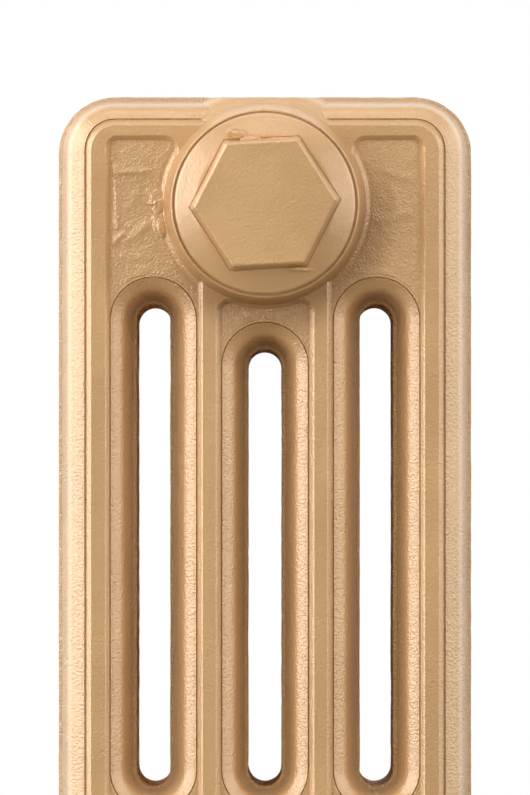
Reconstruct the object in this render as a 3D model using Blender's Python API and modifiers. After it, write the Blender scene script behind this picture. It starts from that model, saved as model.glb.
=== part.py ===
"""A four-column cast iron radiator: hollow sections on threaded nipples, with plugs, bushes and an air vent.

The radiator's length lies along Y, its depth from wall to room along X, and it stands on Z = 0.
Each section is made round Y = 0 and then placed along the row. All sizes are in metres.
"""

import math

import bmesh
import bpy
from mathutils import Matrix

# The row of sections
SECTIONS = 4
SECTION_PITCH = 0.060
SECTION_HEIGHT = 0.324
FOOT_HEIGHT = 0.036

# One section, seen from the end of the row: four columns with three air slots between them
COLUMNS = 4
COLUMN_PITCH = 0.0383
COLUMN_WIDTH = 0.0271
OUTER_CORNER_RADIUS = 0.0196
SIDE_SLOT_TOP = 0.0713  # below the top of the section, as the next three are
MIDDLE_SLOT_TOP = 0.0868
SLOT_BOTTOM = 0.2367
HUB_DROP = 0.037

# The rolled side of a casting, from its parting line up to the recessed floor, and the ribs raised on it
RIM_HALF_WIDTH = 0.0013
ROLL_WIDTH = 0.00925
FLOOR_LEVEL = 0.018
ROLL_PROFILE = [(0.87, 0.42), (0.57, 0.78)]
RIB_LEVEL = 0.020
RIB_BEVEL = 0.0023
RIB_MARGIN = 0.0001
CELL_TOP_DROP = 0.0163
CELL_CORNER_RADIUS = 0.0045

# The hollow inside, and the hubs that join it to its neighbours
WALL = 0.004
CORE_BEVEL = 0.006
CORE_BEVEL_RISE = 0.009
HUB_LENGTH = 0.0293
HUB_FACE_RADIUS = 0.0323
HUB_BASE_RADIUS = 0.0360
HUB_BASE_LEVEL = 0.012
HUB_BORE_RADIUS = 0.0213

# The feet of the two end sections, as wide as the outer columns and just inside their surface.
# The first five are measured inwards, the next five up or down from the section's base.
FOOT_INSET = 0.0006
FOOT_WIDTH = 0.029
FOOT_THROAT = 0.034
FOOT_WAIST = 0.0024
FOOT_ARCH_INSET = 0.001
FOOT_ROOT = 0.030
FOOT_SHOULDER = 0.006
FOOT_WAIST_DROP = 0.012
FOOT_THROAT_RISE = 0.014
FOOT_ARCH_RISE = 0.004
FOOT_ANKLE = 0.004  # above the floor

# What is screwed into the hubs
GAP = 0.0003
THREAD_GAP = 0.0004
NIPPLE_LENGTH = 0.036
NIPPLE_BORE_RADIUS = 0.0165
NIPPLE_LUG_WIDTH = 0.005
NIPPLE_LUG_REACH = 0.004
NIPPLE_LUG_LENGTH = 0.0216
OVERLAP = 0.001  # how far a piece that is joined to another reaches into it
GASKET_OUTER_RADIUS = 0.0275
GASKET_INNER_RADIUS = 0.0216
FLANGE_RADIUS = 0.031
FLANGE_EDGE = 0.0028
FLANGE_CONE = 0.0026
HEX_ACROSS_FLATS = 0.0440
HEX_DRAFT = 0.0010
HEX_HEIGHT = 0.0060
HEX_TURN = math.radians(3.0)
SPIGOT_LENGTH = 0.016
PLUG_HOLLOW_RADIUS = 0.015
PLUG_HOLLOW_DEPTH = 0.017
BUSH_HOLE_RADIUS = 0.0096

# The key-operated air vent in its plug
VENT_HOLE_RADIUS = 0.0061
VENT_SPIGOT_RADIUS = 0.0057
VENT_SPIGOT_LENGTH = 0.020
VENT_HEX_ACROSS_FLATS = 0.017
VENT_HEX_HEIGHT = 0.004
VENT_BARREL_RADIUS = 0.0062
VENT_BARREL_LENGTH = 0.005
VENT_BORE_RADIUS = 0.0036
VENT_BORE_DEPTH = 0.016
VENT_JET_RADIUS = 0.0011
SCREW_STEM_RADIUS = 0.0029
SCREW_GROOVE_RADIUS = 0.0020
SCREW_GROOVE_LENGTH = 0.0018
SCREW_GROOVE_PLACE = 0.0095
SCREW_TIP_LENGTH = 0.002
SCREW_STEM_LENGTH = 0.0157
SCREW_HEAD_SQUARE = 0.0036
SCREW_LENGTH = 0.0227
SEAL_OUTER_RADIUS = 0.0033
SEAL_INNER_RADIUS = 0.0023
SEAL_LENGTH = 0.0012

# How finely curves are drawn
CORNER_STEPS = 4
SLOT_STEPS = 6
CELL_STEPS = 2
HUB_SIDES = 20
RING_SIDES = 16
FLANGE_SIDES = 24
SMALL_SIDES = 12

# What follows from the sizes above
HALF_DEPTH = ((COLUMNS - 1) * COLUMN_PITCH + COLUMN_WIDTH) / 2
BASE = FOOT_HEIGHT
TOP = FOOT_HEIGHT + SECTION_HEIGHT
HUB_HEIGHTS = {"top": TOP - HUB_DROP, "bottom": BASE + HUB_DROP}
SLOT_HALF_WIDTH = (COLUMN_PITCH - COLUMN_WIDTH) / 2
JOINT_GAP = SECTION_PITCH - 2 * HUB_LENGTH
GASKET_THICKNESS = JOINT_GAP - 2 * GAP
NIPPLE_RADIUS = HUB_BORE_RADIUS - THREAD_GAP
PLUG_LENGTH = FLANGE_EDGE + FLANGE_CONE + HEX_HEIGHT
VENT_BORE_END = VENT_HEX_HEIGHT + VENT_BARREL_LENGTH - VENT_BORE_DEPTH
VENT_REACH = GAP + VENT_BORE_END + GAP + SCREW_LENGTH
ROW_SHIFT = -VENT_REACH / 2  # the vent stands out at one end only, and the whole is centred on Y = 0
ROW_HALF = (SECTIONS - 1) * SECTION_PITCH / 2 + HUB_LENGTH
NEAR_FACE = ROW_SHIFT - ROW_HALF
FAR_FACE = ROW_SHIFT + ROW_HALF

MATERIALS = {
    "gold_paint": ((0.60, 0.42, 0.22, 1.0), 0.42, 0.75),
    "bare_iron": ((0.16, 0.15, 0.14, 1.0), 0.60, 0.90),
    "fibre": ((0.10, 0.09, 0.08, 1.0), 0.85, 0.0),
    "brass": ((0.72, 0.52, 0.22, 1.0), 0.30, 1.0),
    "rubber": ((0.02, 0.02, 0.02, 1.0), 0.70, 0.0),
}


def clear_scene():
    for obj in list(bpy.data.objects):
        bpy.data.objects.remove(obj)


def make_material(name):
    colour, roughness, metallic = MATERIALS[name]
    material = bpy.data.materials.new(name)
    material.use_nodes = True
    shader = material.node_tree.nodes["Principled BSDF"]
    shader.inputs["Base Color"].default_value = colour
    shader.inputs["Roughness"].default_value = roughness
    shader.inputs["Metallic"].default_value = metallic
    return material


def make_collection(name):
    collection = bpy.data.collections.new(name)
    bpy.context.scene.collection.children.link(collection)
    return collection


def add_mesh(name, mesh):
    """A shape still being worked on, which becomes a part or a cutter."""
    obj = bpy.data.objects.new(name, mesh)
    bpy.context.scene.collection.objects.link(obj)
    return obj


def evaluated_mesh(obj):
    """The mesh that an object's modifiers make, or the one that a curve draws."""
    bpy.context.view_layer.update()
    graph = bpy.context.evaluated_depsgraph_get()
    return bpy.data.meshes.new_from_object(obj.evaluated_get(graph))


def arc(x, z, radius, start, end, steps):
    """Points along an arc, from one angle to another in degrees."""
    points = []
    for i in range(steps + 1):
        angle = math.radians(start + (end - start) * i / steps)
        points.append((x + radius * math.cos(angle), z + radius * math.sin(angle)))
    return points


def rounded_box(left, right, bottom, top, radius, steps):
    """A rectangle with round corners, anticlockwise from its right side."""
    return (
        arc(right - radius, top - radius, radius, 0, 90, steps)
        + arc(left + radius, top - radius, radius, 90, 180, steps)
        + arc(left + radius, bottom + radius, radius, 180, 270, steps)
        + arc(right - radius, bottom + radius, radius, 270, 360, steps)
    )


def slot_outline(centre, bottom, top, radius, steps):
    """A slot with half-round ends."""
    return arc(centre, top - radius, radius, 0, 180, steps) + arc(
        centre, bottom + radius, radius, 180, 360, steps
    )


def rolled_plate(name, outlines, rim, width, height, profile=()):
    """A closed plate in the XZ plane, rounded towards both faces round its edge and round its holes.

    Its edge is flat for rim to each side of Y = 0. From there it comes in by width as it rises by height,
    through the points of profile, given as shares of the two from (1, 0) at the edge to (0, 1) at the face.
    """
    curve = bpy.data.curves.new(name, "CURVE")
    curve.dimensions = "2D"
    curve.fill_mode = "BOTH"
    for outline in outlines:
        spline = curve.splines.new("POLY")
        spline.points.add(len(outline) - 1)
        for point, (x, z) in zip(spline.points, outline):
            point.co = (x, z, 0, 1)
        spline.use_cyclic_u = True
    stretch = height / width
    curve.extrude = rim / stretch
    curve.bevel_depth = width
    curve.offset = -width
    curve.bevel_mode = "PROFILE"
    for share_in, share_up in profile:
        curve.bevel_profile.points.add(share_in, share_up)
    for point in curve.bevel_profile.points:
        point.handle_type_1 = "VECTOR"
        point.handle_type_2 = "VECTOR"
    curve.bevel_profile.update()
    curve.bevel_resolution = len(profile)
    flat = add_mesh(name, curve)
    flat.matrix_world = Matrix.Rotation(math.pi / 2, 4, "X") @ Matrix.Diagonal((1, 1, stretch, 1))
    mesh = evaluated_mesh(flat)
    mesh.transform(flat.matrix_world)
    bpy.data.objects.remove(flat)
    work = bmesh.new()
    work.from_mesh(mesh)
    bmesh.ops.remove_doubles(work, verts=work.verts, dist=0.00001)
    work.to_mesh(mesh)
    work.free()
    return add_mesh(name, mesh)


def cone(name, low, high, low_radius, high_radius, sides, turn=0.0):
    """A cone or cylinder along +Z, from one height to another."""
    work = bmesh.new()
    bmesh.ops.create_cone(
        work,
        cap_ends=True,
        segments=sides,
        radius1=low_radius,
        radius2=high_radius,
        depth=high - low,
        matrix=Matrix.Translation((0, 0, (low + high) / 2)) @ Matrix.Rotation(turn, 4, "Z"),
    )
    mesh = bpy.data.meshes.new(name)
    work.to_mesh(mesh)
    work.free()
    return add_mesh(name, mesh)


def box(name, size, centre):
    work = bmesh.new()
    bmesh.ops.create_cube(work, size=1.0, matrix=Matrix.Translation(centre) @ Matrix.Diagonal((*size, 1)))
    mesh = bpy.data.meshes.new(name)
    work.to_mesh(mesh)
    work.free()
    return add_mesh(name, mesh)


def turned(name, profile, sides):
    """A turned shape round Z, from the radius and height of each point down its outer side."""
    mesh = bpy.data.meshes.new(name)
    ends = [(i, i + 1) for i in range(len(profile) - 1)]
    mesh.from_pydata([(radius, 0, height) for radius, height in profile], ends, [])
    obj = add_mesh(name, mesh)
    screw = obj.modifiers.new("turn", "SCREW")
    screw.steps = sides
    screw.render_steps = sides
    screw.use_merge_vertices = True
    screw.merge_threshold = 0.00001
    work = bmesh.new()
    work.from_mesh(evaluated_mesh(obj))
    bmesh.ops.remove_doubles(work, verts=work.verts, dist=0.00001)
    obj.modifiers.clear()
    work.to_mesh(mesh)
    work.free()
    return obj


def along_y(obj, height, facing=-1):
    """Lays a shape made along +Z on the hub line at that height, so that its +Z points to -Y or to +Y."""
    turn = Matrix.Rotation(-facing * math.pi / 2, 4, "X")
    obj.data.transform(Matrix.Translation((0, 0, height)) @ turn)
    return obj


def combine(target, others, operation):
    """Joins the other shapes to the target or cuts them from it, one after another, and uses them up."""
    for other in others:
        modifier = target.modifiers.new(operation.lower(), "BOOLEAN")
        modifier.operation = operation
        modifier.solver = "EXACT"
        modifier.object = other
        mesh = evaluated_mesh(target)
        target.modifiers.clear()
        target.data = mesh
        bpy.data.objects.remove(other)
    return target


def finish_part(obj, name, material, collection, location=(0, 0, 0), facing=0):
    """Gives a finished shape its name, its material, its place and its shading."""
    bpy.context.scene.collection.objects.unlink(obj)
    collection.objects.link(obj)
    obj.name = name
    obj.data.name = name
    obj.data.materials.clear()
    obj.data.materials.append(material)
    obj.location = location
    if facing:
        obj.rotation_euler = (-facing * math.pi / 2, 0, 0)
    obj.data.shade_smooth()
    obj.data.set_sharp_from_angle(angle=math.radians(35))
    return obj


def column_centres():
    return [(i - (COLUMNS - 1) / 2) * COLUMN_PITCH for i in range(COLUMNS)]


def slot_spans():
    """The centre line, bottom and top of each air slot."""
    spans = []
    for i in range(COLUMNS - 1):
        middle = i == (COLUMNS - 2) / 2
        drop = MIDDLE_SLOT_TOP if middle else SIDE_SLOT_TOP
        spans.append(((i - (COLUMNS - 2) / 2) * COLUMN_PITCH, TOP - SLOT_BOTTOM, TOP - drop))
    return spans


def casting_body():
    """The rolled slab that the four columns and the two tanks make, with its three slots."""
    outlines = [rounded_box(-HALF_DEPTH, HALF_DEPTH, BASE, TOP, OUTER_CORNER_RADIUS, CORNER_STEPS)]
    for centre, bottom, top in slot_spans():
        outlines.append(slot_outline(centre, bottom, top, SLOT_HALF_WIDTH, SLOT_STEPS))
    return rolled_plate(
        "casting", outlines, RIM_HALF_WIDTH, ROLL_WIDTH, FLOOR_LEVEL - RIM_HALF_WIDTH, ROLL_PROFILE
    )


def casting_ribs():
    """The raised frame and the two ribs down the middle columns, round three sunken cells."""
    inset = ROLL_WIDTH + RIB_MARGIN
    radius = OUTER_CORNER_RADIUS - inset
    outlines = [
        rounded_box(
            inset - HALF_DEPTH, HALF_DEPTH - inset, BASE + inset, TOP - inset, radius, CORNER_STEPS
        )
    ]
    half_cell = SLOT_HALF_WIDTH + ROLL_WIDTH + RIB_MARGIN
    for centre, _, _ in slot_spans():
        outlines.append(
            rounded_box(
                centre - half_cell,
                centre + half_cell,
                BASE + CELL_TOP_DROP,
                TOP - CELL_TOP_DROP,
                CELL_CORNER_RADIUS,
                CELL_STEPS,
            )
        )
    return rolled_plate("ribs", outlines, RIB_LEVEL - RIB_BEVEL, RIB_BEVEL, RIB_BEVEL)


def hub(height):
    """One hub, which stands out of both faces of the section."""
    halves = []
    for facing in (-1, 1):
        boss = cone("hub", HUB_BASE_LEVEL, HUB_LENGTH, HUB_BASE_RADIUS, HUB_FACE_RADIUS, HUB_SIDES)
        halves.append(along_y(boss, height, facing))
    return halves


def waterway():
    """The hollow inside the casting: the slab again, a wall's thickness smaller all round."""
    outlines = [
        rounded_box(
            WALL - HALF_DEPTH,
            HALF_DEPTH - WALL,
            BASE + WALL,
            TOP - WALL,
            OUTER_CORNER_RADIUS - WALL,
            CELL_STEPS + 1,
        )
    ]
    for centre, bottom, top in slot_spans():
        radius = SLOT_HALF_WIDTH + WALL
        outlines.append(slot_outline(centre, bottom - WALL, top + WALL, radius, CELL_STEPS * 2))
    rim = FLOOR_LEVEL - WALL - CORE_BEVEL_RISE
    return rolled_plate("waterway", outlines, rim, CORE_BEVEL, CORE_BEVEL_RISE)


def hub_bore(height):
    bore = cone("bore", -2 * HUB_LENGTH, 2 * HUB_LENGTH, HUB_BORE_RADIUS, HUB_BORE_RADIUS, HUB_SIDES)
    return along_y(bore, height)


def foot_outline(side):
    """One foot from the end of the row: the outer column carried down, drawn in and out again to a pad."""
    outer = HALF_DEPTH - FOOT_INSET
    inner = HALF_DEPTH - FOOT_WIDTH
    throat = HALF_DEPTH - FOOT_THROAT
    points = [
        (outer, BASE + FOOT_ROOT),
        (outer, BASE + FOOT_SHOULDER),
        (outer - FOOT_WAIST, BASE - FOOT_WAIST_DROP),
        (outer, FOOT_ANKLE),
        (outer, -ROLL_WIDTH),
        (inner, -ROLL_WIDTH),
        (inner, FOOT_ANKLE),
        (inner + FOOT_WAIST, BASE - FOOT_WAIST_DROP),
        (inner + FOOT_ARCH_INSET, BASE + FOOT_ARCH_RISE),
        (throat, BASE + FOOT_THROAT_RISE),
        (throat, BASE + FOOT_ROOT),
    ]
    return [(side * x, z) for x, z in points]


def feet():
    height = FLOOR_LEVEL - FOOT_INSET - RIM_HALF_WIDTH
    return [
        rolled_plate("foot", [foot_outline(side)], RIM_HALF_WIDTH, ROLL_WIDTH, height, ROLL_PROFILE)
        for side in (-1, 1)
    ]


def floor_cutter():
    """Takes off what is below Z = 0, so that the feet stand flat."""
    return box("floor", (1, 1, 0.1), (0, 0, -0.05))


def section(with_feet):
    """One hollow casting."""
    body = combine(casting_body(), [casting_ribs()], "UNION")
    for height in HUB_HEIGHTS.values():
        combine(body, hub(height), "UNION")
    if with_feet:
        combine(body, feet(), "UNION")
        combine(body, [floor_cutter()], "DIFFERENCE")
    hollows = [waterway()] + [hub_bore(height) for height in HUB_HEIGHTS.values()]
    return combine(body, hollows, "DIFFERENCE")


def add_sections(paint, collection):
    plain = section(with_feet=False).data
    legged = section(with_feet=True).data
    for obj in list(bpy.context.scene.collection.objects):
        bpy.data.objects.remove(obj)
    for i in range(SECTIONS):
        at_end = i in (0, SECTIONS - 1)
        name = "end_section_near" if i == 0 else "end_section_far" if at_end else f"middle_section_{i}"
        obj = add_mesh(name, legged if at_end else plain)
        finish_part(obj, name, paint, collection, (0, section_centre(i), 0))


def section_centre(i):
    return ROW_SHIFT + (i - (SECTIONS - 1) / 2) * SECTION_PITCH


def ring(name, length, outer, inner, sides):
    """A tube along +Z, centred on the origin."""
    half = length / 2
    return turned(name, [(outer, half), (outer, -half), (inner, -half), (inner, half), (outer, half)], sides)


def nipple():
    """A threaded tube with two lugs inside for the key that turns it."""
    tube = ring("nipple", NIPPLE_LENGTH, NIPPLE_RADIUS, NIPPLE_BORE_RADIUS, RING_SIDES)
    size = (NIPPLE_LUG_REACH + OVERLAP, NIPPLE_LUG_WIDTH, NIPPLE_LUG_LENGTH)
    place = NIPPLE_BORE_RADIUS - (NIPPLE_LUG_REACH - OVERLAP) / 2
    lugs = [box("lug", size, (side * place, 0, 0)) for side in (-1, 1)]
    return combine(tube, lugs, "UNION")


def add_joints(iron, fibre, collection):
    """Two nipples and two gaskets between each pair of neighbouring sections."""
    nipple_mesh = nipple().data
    gasket_mesh = ring(
        "gasket", GASKET_THICKNESS, GASKET_OUTER_RADIUS, GASKET_INNER_RADIUS, RING_SIDES
    ).data
    for obj in list(bpy.context.scene.collection.objects):
        bpy.data.objects.remove(obj)
    for i in range(SECTIONS - 1):
        y = section_centre(i) + SECTION_PITCH / 2
        for level, height in HUB_HEIGHTS.items():
            for kind, mesh, material in (
                ("nipple", nipple_mesh, iron),
                ("section_gasket", gasket_mesh, fibre),
            ):
                name = f"{kind}_{level}_{i + 1}"
                finish_part(add_mesh(name, mesh), name, material, collection, (0, y, height), -1)


def plug(name, hole_radius):
    """A hexagon-headed plug along +Z whose flange sits at Z = 0. With a hole radius it is bored through."""
    hex_radius = HEX_ACROSS_FLATS / math.sqrt(3)
    lift = FLANGE_EDGE + FLANGE_CONE
    hollow_top = PLUG_HOLLOW_DEPTH - SPIGOT_LENGTH
    profile = [
        (0, lift),
        (hex_radius, lift),
        (FLANGE_RADIUS, FLANGE_EDGE),
        (FLANGE_RADIUS, 0),
        (NIPPLE_RADIUS, 0),
        (NIPPLE_RADIUS, -SPIGOT_LENGTH),
        (PLUG_HOLLOW_RADIUS, -SPIGOT_LENGTH),
        (PLUG_HOLLOW_RADIUS, hollow_top),
        (0, hollow_top),
    ]
    body = turned(name, profile, FLANGE_SIDES)
    turn = math.pi / 2 + HEX_TURN
    head = cone("hex", lift / 2, lift + HEX_HEIGHT, hex_radius + HEX_DRAFT, hex_radius, 6, turn)
    combine(body, [head], "UNION")
    if hole_radius:
        hole = cone("hole", -SPIGOT_LENGTH, 2 * PLUG_LENGTH, hole_radius, hole_radius, RING_SIDES)
        combine(body, [hole], "DIFFERENCE")
    return body


def end_gasket(name):
    return ring(name, GASKET_THICKNESS, GASKET_OUTER_RADIUS, GASKET_INNER_RADIUS, RING_SIDES)


def add_end_fittings(paint, fibre, collection):
    """A blanking plug and the air vent's plug at the top, and a reducing bush for a valve at each bottom."""
    fittings = (
        ("blanking_plug", -1, "top", 0.0),
        ("air_vent_plug", 1, "top", VENT_HOLE_RADIUS),
        ("bush_near", -1, "bottom", BUSH_HOLE_RADIUS),
        ("bush_far", 1, "bottom", BUSH_HOLE_RADIUS),
    )
    for name, facing, level, hole_radius in fittings:
        face = NEAR_FACE if facing < 0 else FAR_FACE
        height = HUB_HEIGHTS[level]
        place = (0, face + facing * JOINT_GAP, height)
        finish_part(plug(name, hole_radius), name, paint, collection, place, facing)
        place = (0, face + facing * JOINT_GAP / 2, height)
        finish_part(end_gasket(name), name + "_gasket", fibre, collection, place, facing)


def vent_body():
    """The vent's housing along +Z, whose hexagon sits at Z = 0, with the screw's bore and a jet."""
    barrel_top = VENT_HEX_HEIGHT + VENT_BARREL_LENGTH
    profile = [
        (VENT_BORE_RADIUS, barrel_top),
        (VENT_BARREL_RADIUS, barrel_top),
        (VENT_BARREL_RADIUS, VENT_HEX_HEIGHT / 2),
        (VENT_SPIGOT_RADIUS, VENT_HEX_HEIGHT / 2),
        (VENT_SPIGOT_RADIUS, -VENT_SPIGOT_LENGTH),
        (VENT_JET_RADIUS, -VENT_SPIGOT_LENGTH),
        (VENT_JET_RADIUS, VENT_BORE_END),
        (VENT_BORE_RADIUS, VENT_BORE_END),
        (VENT_BORE_RADIUS, barrel_top),
    ]
    body = turned("vent", profile, SMALL_SIDES)
    across_corners = VENT_HEX_ACROSS_FLATS / math.sqrt(3)
    head = cone("hex", 0, VENT_HEX_HEIGHT, across_corners, across_corners, 6)
    wide = (VENT_BORE_RADIUS + VENT_SPIGOT_RADIUS) / 2
    bore = cone("bore", -VENT_HEX_HEIGHT, 2 * VENT_HEX_HEIGHT, wide, wide, SMALL_SIDES)
    combine(head, [bore], "DIFFERENCE")
    combine(body, [head], "UNION")
    outlet = cone("outlet", 0, 2 * VENT_HEX_HEIGHT, VENT_JET_RADIUS, VENT_JET_RADIUS, 6)
    outlet.data.transform(
        Matrix.Translation((0, 0, barrel_top - 2 * VENT_JET_RADIUS)) @ Matrix.Rotation(math.pi / 2, 4, "X")
    )
    return combine(body, [outlet], "DIFFERENCE")


def bleed_screw():
    """The vent's screw along +Z, tip at Z = 0: a cone, a stem with the seal's groove, and a square head."""
    groove_low = SCREW_GROOVE_PLACE - SCREW_GROOVE_LENGTH / 2
    groove_high = SCREW_GROOVE_PLACE + SCREW_GROOVE_LENGTH / 2
    profile = [
        (0, SCREW_STEM_LENGTH),
        (SCREW_STEM_RADIUS, SCREW_STEM_LENGTH),
        (SCREW_STEM_RADIUS, groove_high),
        (SCREW_GROOVE_RADIUS, groove_high),
        (SCREW_GROOVE_RADIUS, groove_low),
        (SCREW_STEM_RADIUS, groove_low),
        (SCREW_STEM_RADIUS, SCREW_TIP_LENGTH),
        (SCREW_STEM_RADIUS / 4, 0),
        (0, 0),
    ]
    screw = turned("screw", profile, SMALL_SIDES)
    sunk = SCREW_STEM_LENGTH - OVERLAP
    size = (SCREW_HEAD_SQUARE, SCREW_HEAD_SQUARE, SCREW_LENGTH - sunk)
    return combine(screw, [box("head", size, (0, 0, (SCREW_LENGTH + sunk) / 2))], "UNION")


def add_air_vent(brass, rubber, collection):
    height = HUB_HEIGHTS["top"]
    seat = FAR_FACE + JOINT_GAP + PLUG_LENGTH + GAP
    finish_part(vent_body(), "air_vent_body", brass, collection, (0, seat, height), 1)
    tip = seat + VENT_BORE_END + GAP
    finish_part(bleed_screw(), "bleed_screw", brass, collection, (0, tip, height), 1)
    seal = ring("seal", SEAL_LENGTH, SEAL_OUTER_RADIUS, SEAL_INNER_RADIUS, SMALL_SIDES)
    finish_part(seal, "bleed_seal", rubber, collection, (0, tip + SCREW_GROOVE_PLACE, height), 1)


def main():
    clear_scene()
    collection = make_collection("cast_iron_radiator")
    materials = {name: make_material(name) for name in MATERIALS}
    add_sections(materials["gold_paint"], collection)
    add_joints(materials["bare_iron"], materials["fibre"], collection)
    add_end_fittings(materials["gold_paint"], materials["fibre"], collection)
    add_air_vent(materials["brass"], materials["rubber"], collection)


main()
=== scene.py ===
import math
import bpy
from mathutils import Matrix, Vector, noise


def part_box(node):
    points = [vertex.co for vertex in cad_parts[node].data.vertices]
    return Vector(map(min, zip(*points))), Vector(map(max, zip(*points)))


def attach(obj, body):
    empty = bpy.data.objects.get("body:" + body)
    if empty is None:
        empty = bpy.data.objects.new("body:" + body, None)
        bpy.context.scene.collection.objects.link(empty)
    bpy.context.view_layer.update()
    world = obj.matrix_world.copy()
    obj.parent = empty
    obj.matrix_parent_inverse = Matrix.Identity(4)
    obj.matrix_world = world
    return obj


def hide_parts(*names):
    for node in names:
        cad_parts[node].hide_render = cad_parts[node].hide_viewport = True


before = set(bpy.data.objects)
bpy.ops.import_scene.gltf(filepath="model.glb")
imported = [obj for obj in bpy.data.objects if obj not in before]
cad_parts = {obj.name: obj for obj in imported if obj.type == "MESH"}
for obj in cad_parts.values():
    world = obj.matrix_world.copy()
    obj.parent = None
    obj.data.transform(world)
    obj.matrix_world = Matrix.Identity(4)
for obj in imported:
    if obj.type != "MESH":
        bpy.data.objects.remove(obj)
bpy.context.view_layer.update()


def deselectAll():
    if bpy.context.mode != "OBJECT":
        bpy.ops.object.mode_set(mode="OBJECT")
    bpy.ops.object.select_all(action="DESELECT")


def pick(obj):
    deselectAll()
    obj.select_set(True)
    bpy.context.view_layer.objects.active = obj
    return obj


def added(operator, **settings):
    deselectAll()
    operator(**settings)
    return bpy.context.object


def linked(name, data):
    obj = bpy.data.objects.new(name, data)
    bpy.context.scene.collection.objects.link(obj)
    return obj


def editMode(obj):
    pick(obj)
    bpy.ops.object.mode_set(mode="EDIT")
    bpy.ops.mesh.select_all(action="SELECT")


def objectMode():
    bpy.ops.object.mode_set(mode="OBJECT")


def applyModifiers(obj):
    pick(obj)
    for name in [modifier.name for modifier in obj.modifiers]:
        bpy.ops.object.modifier_apply(modifier=name)


def settle(obj):
    pick(obj)
    bpy.ops.object.transform_apply(location=True, rotation=True, scale=True)


def combine(target, other, operation):
    modifier = target.modifiers.new("combine", "BOOLEAN")
    modifier.operation = operation
    modifier.solver = "EXACT"
    modifier.object = other
    applyModifiers(target)
    bpy.data.objects.remove(other)


def mergeDoubles(obj, distance=0.00001):
    editMode(obj)
    bpy.ops.mesh.remove_doubles(threshold=distance)
    bpy.ops.mesh.normals_make_consistent(inside=False)
    objectMode()


def copyPiece(obj, name, offset=(0, 0, 0)):
    pick(obj)
    bpy.ops.object.duplicate()
    copy = bpy.context.object
    copy.name = name
    copy.location = offset
    settle(copy)
    return copy


# smooth shading in which the large flat faces stay flat
def smoothBy(obj, degrees):
    pick(obj)
    bpy.ops.object.shade_smooth_by_angle(angle=math.radians(degrees))
    weigh = obj.modifiers.new("weigh", "WEIGHTED_NORMAL")
    weigh.keep_sharp = True
    applyModifiers(obj)


def arc(x, z, radius, start, end, steps):
    points = []
    for i in range(steps + 1):
        angle = math.radians(start + (end - start) * i / steps)
        points.append((x + radius * math.cos(angle), z + radius * math.sin(angle)))
    return points


def roundedOutline(left, right, bottom, top, radius, steps):
    return (arc(right - radius, top - radius, radius, 0, 90, steps)
            + arc(left + radius, top - radius, radius, 90, 180, steps)
            + arc(left + radius, bottom + radius, radius, 180, 270, steps)
            + arc(right - radius, bottom + radius, radius, 270, 360, steps))


def slotOutline(centre, bottom, top, radius, steps):
    return (arc(centre, top - radius, radius, 0, 180, steps)
            + arc(centre, bottom + radius, radius, 180, 360, steps))


def roundCorners(corners, radii, steps):
    points = []
    for i, corner in enumerate(corners):
        here = Vector(corner)
        back = (Vector(corners[i - 1]) - here).normalized()
        ahead = (Vector(corners[(i + 1) % len(corners)]) - here).normalized()
        reach = radii[i] / math.tan(back.angle(ahead) / 2)
        start, end = here + back * reach, here + ahead * reach
        centre = here + (back + ahead).normalized() * (radii[i] / math.sin(back.angle(ahead) / 2))
        for step in range(steps + 1):
            spoke = (start - centre).lerp(end - centre, step / steps).normalized() * radii[i]
            points.append(tuple(centre + spoke))
    return points


# adds points along the long straight runs, no further apart than gap
def spread(outline, gap):
    points = []
    for i, point in enumerate(outline):
        here, ahead = Vector(point), Vector(outline[(i + 1) % len(outline)])
        count = max(1, math.ceil((ahead - here).length / gap))
        points += [tuple(here.lerp(ahead, step / count)) for step in range(count)]
    return points


# a plate in the XZ plane whose rounded edge comes in by width as it rises by height
def rolledPlate(name, outlines, rim, width, height, rows=()):
    curve = bpy.data.curves.new(name, "CURVE")
    curve.dimensions = "2D"
    curve.fill_mode = "BOTH"
    for outline in outlines:
        spline = curve.splines.new("POLY")
        spline.points.add(len(outline) - 1)
        for point, (x, z) in zip(spline.points, outline):
            point.co = (x, z, 0, 1)
        spline.use_cyclic_u = True
    curve.extrude = rim * width / height
    curve.bevel_depth = width
    curve.offset = -width
    curve.bevel_mode = "PROFILE"
    for shareIn, shareUp in rows:
        curve.bevel_profile.points.add(shareIn, shareUp)
    for point in curve.bevel_profile.points:
        point.handle_type_1 = "VECTOR"
        point.handle_type_2 = "VECTOR"
    curve.bevel_profile.update()
    curve.bevel_resolution = len(rows)
    pick(linked(name, curve))
    bpy.ops.object.convert(target="MESH")
    plate = bpy.context.object
    plate.scale = (1, 1, height / width)
    plate.rotation_euler = (math.pi / 2, 0, 0)
    settle(plate)
    mergeDoubles(plate)
    return plate


# a turned shape round Z, from the radius and height of each point of its outline
def turnedPiece(name, profile, sides):
    mesh = bpy.data.meshes.new(name)
    ends = [(i, i + 1) for i in range(len(profile) - 1)]
    mesh.from_pydata([(radius, 0, height) for radius, height in profile], ends, [])
    obj = linked(name, mesh)
    screw = obj.modifiers.new("turn", "SCREW")
    screw.steps = screw.render_steps = sides
    screw.use_merge_vertices = True
    screw.merge_threshold = 0.000005
    applyModifiers(obj)
    mergeDoubles(obj, 0.000005)
    return obj


# a profile from (radius, height, rounding), with its corners rounded
def roundedProfile(corners, steps=4):
    points = []
    for i, (radius, height, rounding) in enumerate(corners):
        if not rounding or i in (0, len(corners) - 1):
            points.append((radius, height))
            continue
        here = Vector((radius, height))
        back = (Vector(corners[i - 1][:2]) - here).normalized()
        ahead = (Vector(corners[i + 1][:2]) - here).normalized()
        start, end = here + back * rounding, here + ahead * rounding
        for step in range(steps + 1):
            t = step / steps
            points.append(tuple(start.lerp(here, t).lerp(here.lerp(end, t), t)))
    return points


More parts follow.
